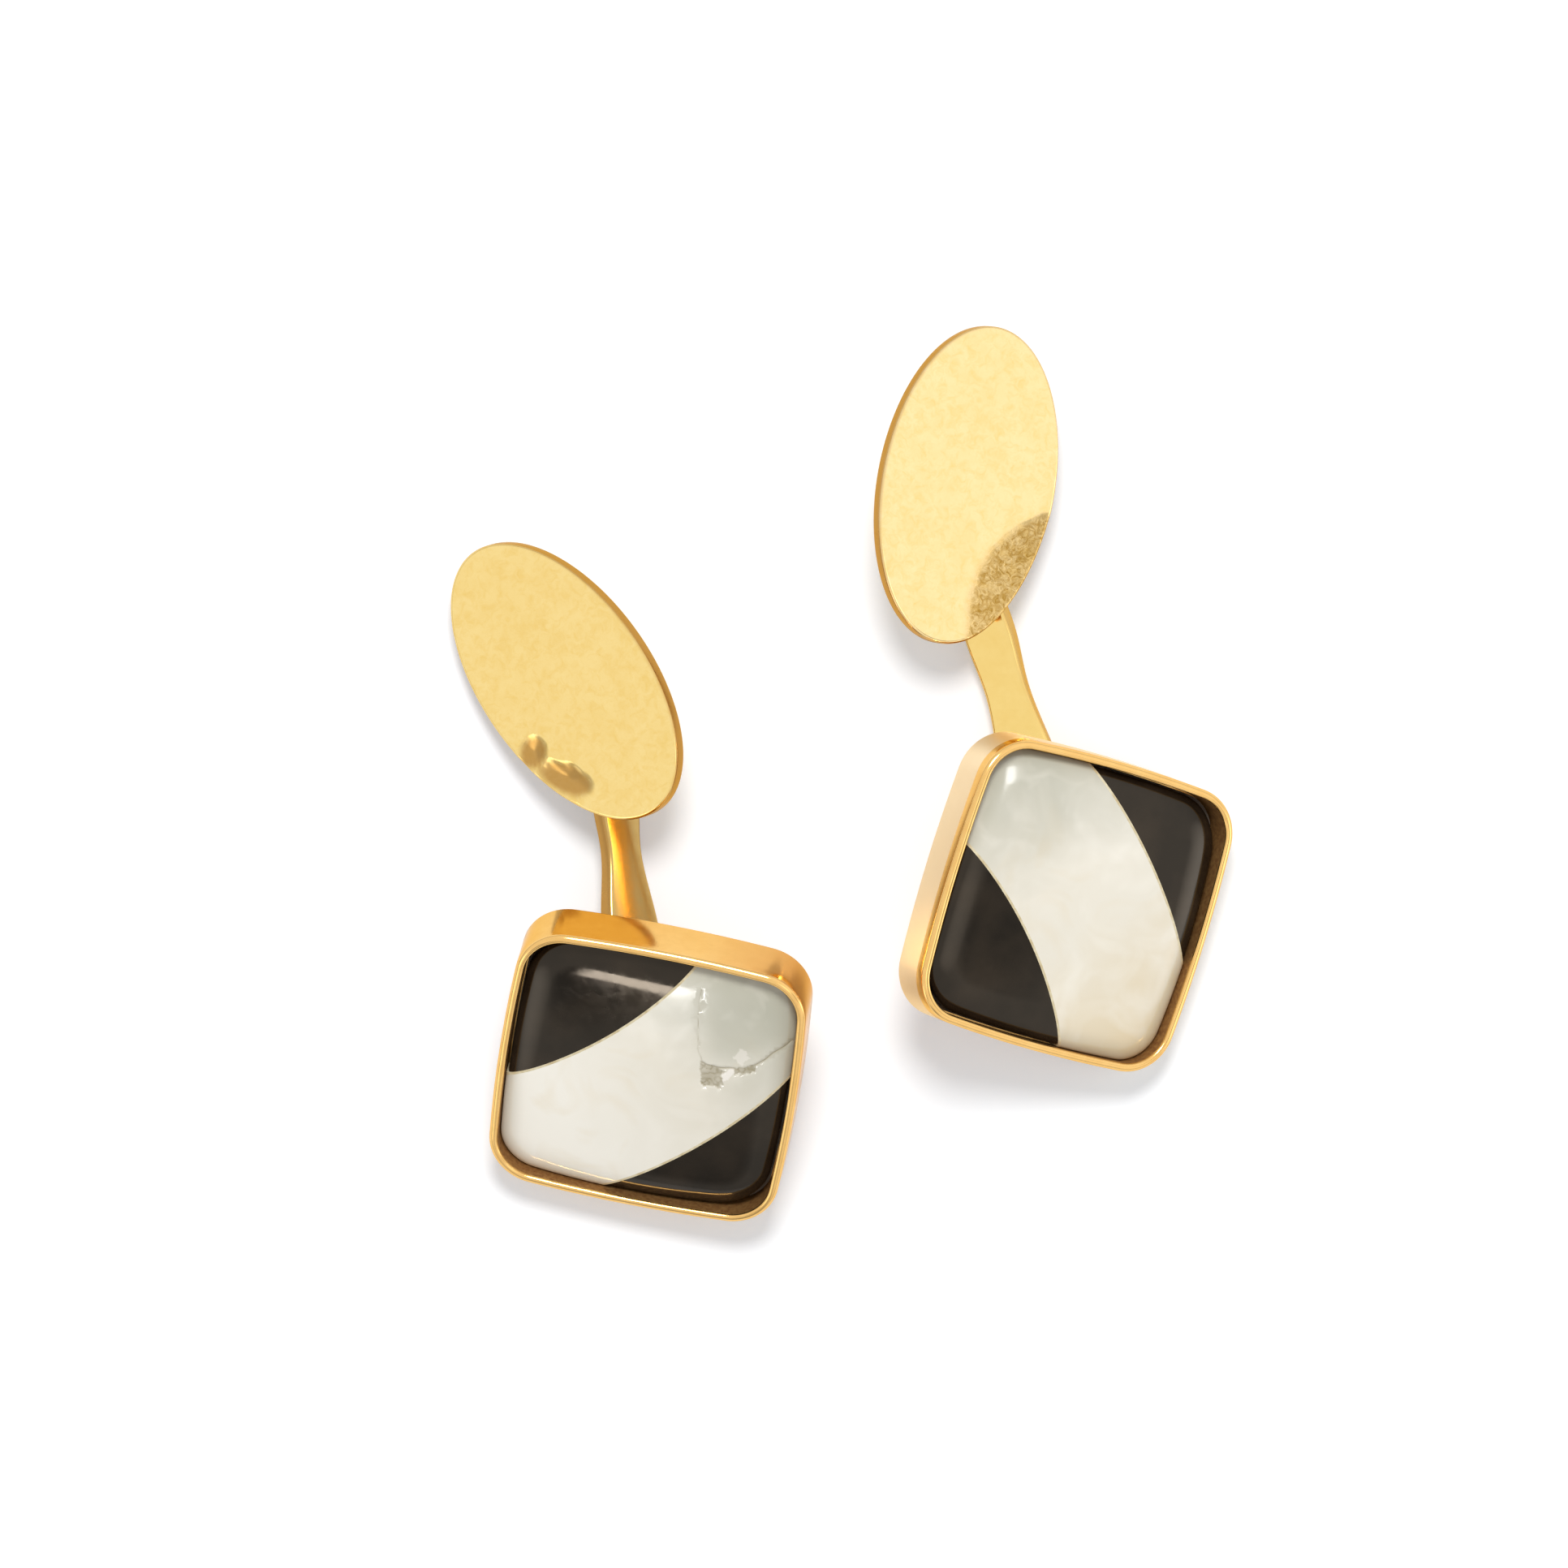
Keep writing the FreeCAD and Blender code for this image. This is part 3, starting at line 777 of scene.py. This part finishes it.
def dented_edge(p):
    """Sink, darkening and scuff of the dents of the left plate; the darkening is a painted dark
    reflection.
    """
    sink = dent_darkening = 0
    for middle, reach, turn, depth in dents:
        q = Matrix.Rotation(math.radians(-turn), 2) @ (p - middle)
        waver = dent_waver * noise.noise(Vector((p.x, p.y, 0)) * dent_waver_pitch)
        r = math.hypot(q.x / reach[0], q.y / reach[1]) + waver
        sink -= dent_lip * math.exp(-((r - lip_share) / lip_half_share) ** 2)
        if r < 1:
            sink += depth * (1 - r) * min(1, dent_wall * (1 - r))
            dent_darkening = max(dent_darkening, min(1, dent_darkening_rise * (1 - r)))
    return sink, dent_darkening_share * dent_darkening, dent_scuff_and_shade * dent_darkening


def oval(inset, share):
    """A ring of the plate: the ellipse moved in by the inset, then drawn to its middle."""
    ring = []
    for k in range(plate_round_steps):
        a = 2 * math.pi * k / plate_round_steps
        p = Vector((plate_width / 2 * math.cos(a), plate_length / 2 * math.sin(a)))
        out = Vector((math.cos(a) * plate_length, math.sin(a) * plate_width)).normalized()
        ring.append((p - out * (inset + polish_loss)) * share)
    return ring


toggle_at = {side: toggle_place(side) for side in SIDES}
plate_bottom = pin_drop
plate_top = pin_drop + plate_thickness
# Rows of the plate, from the middle of its top to that of its underside: inset, share, height, and filed
# edge painted darker as shade
ring_shares = [k / plate_rings for k in range(1, plate_rings)]
turned_edge = (round_over(plate_edge_round, plate_top - plate_edge_round, plate_edge_round, 90, 180)
               + round_over(plate_edge_round, plate_bottom + plate_edge_round, plate_edge_round, 180, 270))
plate_rows = [(plate_edge_round, share, plate_top, 0) for share in ring_shares]
plate_rows.append((plate_edge_round + edge_start, 1, plate_top, 0))
plate_rows += [(inset, 1, height, (1 - inset / plate_edge_round) ** 3) for inset, height in turned_edge]
plate_rows.append((plate_edge_round + edge_start, 1, plate_bottom, 0))
plate_rows += [(plate_edge_round, share, plate_bottom, 0) for share in reversed(ring_shares)]
for side in SIDES:
    worn = dented_edge if side == "left" else worn_corner
    plate_gold = polished_gold(side + "_plate_gold", plate_yellow[side], plate_yellow_deep[side], 4,
                               0.05, 0.12, mottled=0.8)
    points, filed_and_shaded, scuffed_and_shaded = [], [], []
    for inset, share, height, edge in plate_rows:
        for p in oval(inset, share):
            sink, dent_darkening, scuff_and_shade = worn(p)
            upper = (height - plate_bottom) / plate_thickness
            points.append(Vector((p.x, p.y, height - sink * upper)))
            # Filed edge and dents: darker tone, painted shade and painted dark reflection
            filed_and_shaded.append(max(edge, dent_darkening * upper))
            # Scuff on the top face, with its painted dark reflection
            scuffed_and_shaded.append(scuff_and_shade if height > plate_top - plate_edge_round else 0)
    add_piece(side + "_oval_plate", side + "_toggle", side + "_toggle_plate", points,
              loops_to_faces(len(plate_rows), plate_round_steps), toggle_at[side], plate_gold,
              plate_sharp_angle, {"filed_and_shaded": filed_and_shaded, "scuffed_and_shaded": scuffed_and_shaded})


# Posts. A waisted strip of yellow gold is soldered to the middle of the back plate with a flared
# foot, then bends and rolls over to stand on edge between the ears of the hinge, ending in an eye.
post_lies = {
    "left": {"foot_lean": 36.2, "foot_heading": 136.8, "foot_reach": 7.93, "face_heading": -11.0,
             "face_lift": 54.8, "eye_reach": 2.52, "eye_rise": 17.0, "eye_face": 1},
    "right": {"foot_lean": 46.1, "foot_heading": 80.6, "foot_reach": 6.35, "face_heading": 148.9,
              "face_lift": 68.9, "eye_reach": 1.33, "eye_rise": 38.6, "eye_face": -1},
}
station_shares = (0.0, 0.1, 0.2, 0.31, 0.44, 0.56, 0.7, 0.85, 1.0)
post_widths = (3.8, 3.6, 3.35, 2.95, 2.2, 2.65, 2.2, 1.7, 1.4)
post_thicknesses = (2.2, 1.6, 1.2, 0.95, 0.8, 0.85, 0.9, 0.9, 0.8)
foot_blend_share = 0.3
section_round = 0.2
section_steps = 4
# The posts' narrow sides are painted darker by these shares, as painted shade
narrow_side_shade_share = {"left": 0.85, "right": 0.65}
post_steps = 90
eye_radius = 0.85
eye_length = 2.2
eye_bore = 0.39
eye_steps = 64
# The left post is the same gold as the right, painted deeper as shade and darker reflections
post_shaded_gold, post_shaded_gold_deep = (0.56, 0.39, 0.145), (0.49, 0.31, 0.09)
post_yellow, post_yellow_deep = (0.93, 0.68, 0.24), (0.86, 0.57, 0.15)
post_gold = {
    "left": polished_gold("shaded_gold_post", post_shaded_gold, post_shaded_gold_deep, 90, 0.12, 0.19,
                          mottled=0.2, hairline=0.02, pitted=0.01),
    "right": polished_gold("yellow_gold_post", post_yellow, post_yellow_deep, 90, 0.07, 0.14,
                           mottled=0.2, hairline=0.06, pitted=0.02),
}


def heading(angle):
    return Vector((math.cos(math.radians(angle)), math.sin(math.radians(angle)), 0))


def smooth_through(stations, values, share):
    """A smooth value at a share of the way, through the values at the stations."""
    i = max(k for k in range(len(stations) - 1) if stations[k] <= share)
    count = len(values)

    def slope(k):
        a, b = max(k - 1, 0), min(k + 1, count - 1)
        return (values[b] - values[a]) / (stations[b] - stations[a])

    step = stations[i + 1] - stations[i]
    t = (share - stations[i]) / step
    return (values[i] * (1 + 2 * t) * (1 - t) ** 2 + values[i + 1] * t * t * (3 - 2 * t)
            + step * slope(i) * t * (1 - t) ** 2 + step * slope(i + 1) * t * t * (t - 1))


def strip_ring(centre, way, face, width, thickness):
    """Points of a rounded rectangle square to the way, each with how far it is on a narrow side."""
    across = way.cross(face).normalized()
    flat = across.cross(way).normalized()
    ring = []
    for quarter, (sx, sy) in enumerate(((1, 1), (-1, 1), (-1, -1), (1, -1))):
        for k in range(section_steps + 1):
            a = math.pi / 2 * (quarter + k / section_steps)
            x = sx * (width / 2 - section_round) + section_round * math.cos(a)
            y = sy * (thickness / 2 - section_round) + section_round * math.sin(a)
            ring.append((centre + across * x + flat * y, math.cos(a) ** 2))
    return ring


for side in SIDES:
    lay = post_lies[side]
    front = front_at[side].to_3x3()
    swivel = toggle_at[side].to_3x3()
    foot = front_at[side].translation / MM
    pin = toggle_at[side].translation / MM
    lean, rise = math.radians(lay["foot_lean"]), math.radians(lay["eye_rise"])
    lift = math.radians(lay["face_lift"])
    out = front @ (heading(lay["foot_heading"]) * math.sin(lean) - Vector((0, 0, math.cos(lean))))
    arrive = swivel @ Vector((0, math.cos(rise), math.sin(rise)))
    knots = (foot, foot + out * lay["foot_reach"], pin - arrive * lay["eye_reach"], pin)
    foot_face = front @ (heading(lay["face_heading"]) * math.cos(lift) + Vector((0, 0, math.sin(lift))))
    eye_face = swivel @ Vector((lay["eye_face"], 0, 0))
    square = front @ Vector((0, 0, -1))
    points, filed_and_shaded = [], []
    rows = 0
    for k in range(post_steps + 1):
        share = k / post_steps
        rest = 1 - share
        centre = (knots[0] * rest ** 3 + knots[1] * (3 * rest ** 2 * share)
                  + knots[2] * (3 * rest * share ** 2) + knots[3] * share ** 3)
        if (centre - pin).length < (eye_radius + eye_bore) / 2:
            break
        way = ((knots[1] - knots[0]) * rest ** 2 + (knots[2] - knots[1]) * (2 * rest * share)
               + (knots[3] - knots[2]) * share ** 2).normalized()
        face = foot_face * rest + eye_face * share
        face = face - way * face.dot(way)
        turned = min(share / foot_blend_share, 1)
        way = (square * (1 - turned) + way * turned).normalized()
        width = smooth_through(station_shares, post_widths, share)
        thickness = smooth_through(station_shares, post_thicknesses, share)
        for p, narrow in strip_ring(centre, way, face, width, thickness):
            points.append(p)
            # Narrow sides painted darker, as painted shade
            filed_and_shaded.append(narrow * narrow_side_shade_share[side])
        rows += 1
    faces = loops_to_faces(rows, len(points) // rows)
    start = len(points)
    tube = [(-eye_length / 2, eye_radius), (eye_length / 2, eye_radius),
            (eye_length / 2, eye_bore), (-eye_length / 2, eye_bore)]
    for x, r in tube:
        for k in range(eye_steps):
            a = 2 * math.pi * k / eye_steps
            points.append(pin + swivel @ Vector((x, r * math.cos(a), r * math.sin(a))))
            filed_and_shaded.append(0)
    faces += [tuple(start + i for i in f) for f in loops_to_faces(len(tube), eye_steps, closed=True)]
    add_piece(side + "_strip_post", "fronts", side + "_post", points, faces,
              Matrix.Identity(4), post_gold[side], marks={"filed_and_shaded": filed_and_shaded})


# Hinge brackets. Two round ears of yellow gold stand on a small foot that is soldered under the
# oval plate, one on each side of the eye.
ear_gap = 0.05
ear_thickness = 0.5
ear_inner = eye_length / 2 + ear_gap
ear_outer = ear_inner + ear_thickness
bracket_base = 0.3
bracket_reach = 1.5
bracket_bevel = 0.06
bevel_angle = 50
ear_steps = 40
hinge_yellow = (0.92, 0.66, 0.24)
hinge_yellow_deep = (0.84, 0.55, 0.15)
bracket_gold = polished_gold("yellow_gold_bracket", hinge_yellow, hinge_yellow_deep, 60, 0.12, 0.24)


def slab(low, high, outline):
    """A prism along X between two planes, from an outline of (y, z) points."""
    points = [Vector((x, y, z)) for x in (low, high) for y, z in outline]
    return points, loops_to_faces(2, len(outline))


ear_outline = [(eye_radius * math.cos(a), eye_radius * math.sin(a)) for a in
               (math.pi * (1 + k / ear_steps) for k in range(ear_steps + 1))]
base_bottom = plate_bottom - bracket_base
ear_outline += [(eye_radius, base_bottom), (-eye_radius, base_bottom)]
base_outline = [(-bracket_reach, base_bottom), (bracket_reach, base_bottom),
                (bracket_reach, plate_bottom), (-bracket_reach, plate_bottom)]
for side in SIDES:
    points, faces = [], []
    for low, high, outline in ((-ear_outer, -ear_inner, ear_outline), (ear_inner, ear_outer, ear_outline),
                               (-ear_outer, ear_outer, base_outline)):
        more, loops = slab(low, high, outline)
        faces += [tuple(len(points) + i for i in f) for f in loops]
        points += more
    bracket = add_piece(side + "_ear_bracket", side + "_toggle", side + "_hinge_bracket", points,
                        faces, toggle_at[side], bracket_gold)
    bevel = bracket.modifiers.new("soft_edges", "BEVEL")
    bevel.width = bracket_bevel * MM
    bevel.segments = 2
    bevel.limit_method = "ANGLE"
    bevel.angle_limit = math.radians(bevel_angle)


# Hinge pins. A gold rivet passes through both ears and the eye, pressed in the ears and headed over
# at both ends.
pin_radius = 0.36
head_radius = 0.56
head_height = 0.22
pin_steps = 48
head_steps = 8
rivet_gold = polished_gold("yellow_gold_rivet", hinge_yellow, hinge_yellow_deep, 0, 0.10, 0.2)
half_pin = [(0, pin_radius), (ear_outer, pin_radius), (ear_outer, head_radius)]
half_pin += [(ear_outer + head_height * math.sin(a), head_radius * math.cos(a)) for a in
             (math.pi / 2 * k / head_steps for k in range(1, head_steps))]
lathe = [(-x, r) for x, r in reversed(half_pin[1:])] + half_pin
for side in SIDES:
    points = []
    for x, r in lathe:
        for k in range(pin_steps):
            a = 2 * math.pi * k / pin_steps
            points.append(Vector((x, r * math.cos(a), r * math.sin(a))))
    add_piece(side + "_rivet", side + "_toggle", side + "_hinge_pin", points,
              loops_to_faces(len(lathe), pin_steps), toggle_at[side], rivet_gold)


# Table. A plain white sheet lies under the pair and keeps their soft shadows. To the eye it glows a
# little by itself, so that it is white without more light on the metal.
table_reach = 2.0
table_white = 0.90
table_fibre_share = 0.99
table_lift = 0.185
table_glow = (0.92, 1.08, 1.3, 1)


def seen_directly(tree):
    """One where the eye looks at a surface, or sees it mirrored or through another."""
    path = add_node(tree, "ShaderNodeLightPath").outputs
    seen = worked(tree, "MAXIMUM", path["Is Camera Ray"], path["Is Glossy Ray"])
    return worked(tree, "MAXIMUM", seen, path["Is Transmission Ray"])


bpy.ops.mesh.primitive_plane_add(size=table_reach)
table = bpy.context.object
table.name = "table"
table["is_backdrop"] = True
white_sheet, tree, shader = new_material("white_sheet")
fibre = add_node(tree, "ShaderNodeTexNoise", {"Scale": 900.0, "Detail": 3.0}).outputs["Fac"]
tone = blended(tree, fibre, (table_white * table_fibre_share,) * 3, (table_white,) * 3)
put(tree, shader, Base_Color=tone, Roughness=0.9, Specular_IOR_Level=0.0, Emission_Color=table_glow,
    Emission_Strength=mapped(tree, seen_directly(tree), 0.0, 1.0, 0.0, table_lift))
table.data.materials.append(white_sheet)


# Light. A white room all round with a few soft panels and dark screens, and one soft lamp high on
# the far side, which throws the short shadows towards the near side.
near_fill, far_fill = 0.67, 0.41
near_edge, far_edge = -0.8, 0.8
room_white = 1.0
skirting_white = 0.6
skirting_top = 24
window_white = 1.2
window_from, window_to = 0.2, 0.75
# Soft panels and dark screens: degrees from overhead, heading, inner and outer reach, and gain
panels = ((86, -13, 2, 16, 2.0), (68, -138, 3, 14, 1.3), (54, -118, 4, 9, -0.6),
          (72, -98, 6, 14, -0.5), (27, -41, 2, 13, 0.9), (47, -26, 5, 12, -0.65))
lamp_reach = 0.6
lamp_lean = 25
lamp_size = 0.19
lamp_watts = 2.12
# Small strip lights: degrees from overhead, heading, length and width in metres, and watts
strips = {"near_strip": (49.4, -111.5, 0.12, 0.074, 0.40), "right_strip": (37.5, 6.5, 0.145, 0.085, 0.45)}


def aimed(lean, turn):
    """Turned from overhead by a lean towards a heading; angles in degrees."""
    return Matrix.Rotation(math.radians(turn), 4, "Z") @ Matrix.Rotation(math.radians(lean), 4, "Y")


world = bpy.data.worlds.new("white_room")
bpy.context.scene.world = world
world.use_nodes = True
tree = world.node_tree
background = tree.nodes["Background"]
look = add_node(tree, "ShaderNodeTexCoord").outputs["Generated"]
ways = add_node(tree, "ShaderNodeSeparateXYZ", {"Vector": look}).outputs
skirting = math.sin(math.radians(skirting_top))
walls = mapped(tree, ways["Z"], 0.0, skirting, skirting_white, room_white)
window = mapped(tree, ways["X"], window_from, window_to, room_white, window_white)
room = worked(tree, "MULTIPLY", walls, window)
for lean, turn, inner, outer, gain in panels:
    facing = add_node(tree, "ShaderNodeVectorMath", {0: look, 1: aimed(lean, turn) @ Vector((0, 0, 1))},
                      operation="DOT_PRODUCT").outputs["Value"]
    glow = mapped(tree, facing, math.cos(math.radians(outer)), math.cos(math.radians(inner)), 0.0, gain)
    room = worked(tree, "ADD", room, glow)
fill = mapped(tree, ways["Y"], near_edge, far_edge, near_fill, far_fill)
strength = add_node(tree, "ShaderNodeMix", {"Factor": seen_directly(tree), "A": fill, "B": room},
                    data_type="FLOAT")
tree.links.new(strength.outputs["Result"], background.inputs["Strength"])
background.inputs["Color"].default_value = (1, 1, 1, 1)

lamp_data = bpy.data.lights.new("far_lamp", "AREA")
lamp_data.shape = "DISK"
lamp_data.size = lamp_size
lamp_data.energy = lamp_watts
lamp = bpy.data.objects.new("far_lamp", lamp_data)
lean = math.radians(lamp_lean)
lamp.location = Vector((0, math.sin(lean), math.cos(lean))) * lamp_reach
lamp.rotation_mode = "QUATERNION"
lamp.rotation_quaternion = lamp.location.to_track_quat("Z", "Y")
lamp.visible_camera = False
bpy.context.scene.collection.objects.link(lamp)

# The lamp is screened off the flat ovals, which would mirror it as one white patch
ovals = bpy.data.collections.new("ovals")
for side in SIDES:
    ovals.objects.link(bpy.data.objects[side + "_oval_plate"])
for member in ovals.collection_objects:
    member.light_linking.link_state = "EXCLUDE"
lamp.light_linking.receiver_collection = ovals

# The strip lights are screened off all but the stones, and glint on their polished shoulders
stones = bpy.data.collections.new("stones")
for side in SIDES:
    for stone in ("_onyx_small", "_pearl", "_onyx_large"):
        stones.objects.link(bpy.data.objects[side + stone])
for name, (lean, turn, long, short, watts) in strips.items():
    strip_data = bpy.data.lights.new(name, "AREA")
    strip_data.shape = "RECTANGLE"
    strip_data.size, strip_data.size_y = short, long
    strip_data.energy = watts
    strip = bpy.data.objects.new(name, strip_data)
    strip.matrix_world = aimed(lean, turn) @ Matrix.Translation((0, 0, lamp_reach))
    strip.visible_camera = False
    strip.visible_diffuse = False
    strip.light_linking.receiver_collection = stones
    bpy.context.scene.collection.objects.link(strip)


# Camera. It hangs straight over the table with a long lens, and its frame takes in the pair and the
# white sheet round them.
camera_height = 1.0
view_width = 78.2 * MM
view_middle = Vector((-2.8745, -0.4953, 3.0)) * MM
camera_data = bpy.data.cameras.new("overhead")
camera_data.sensor_width = 36
camera_data.lens = camera_data.sensor_width * camera_height / view_width
camera_data.clip_start = 0.05
camera = bpy.data.objects.new("overhead", camera_data)
camera.location = view_middle + Vector((0, 0, camera_height))
bpy.context.scene.collection.objects.link(camera)
bpy.context.scene.camera = camera
bpy.context.scene.view_settings.view_transform = "Standard"

low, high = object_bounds()
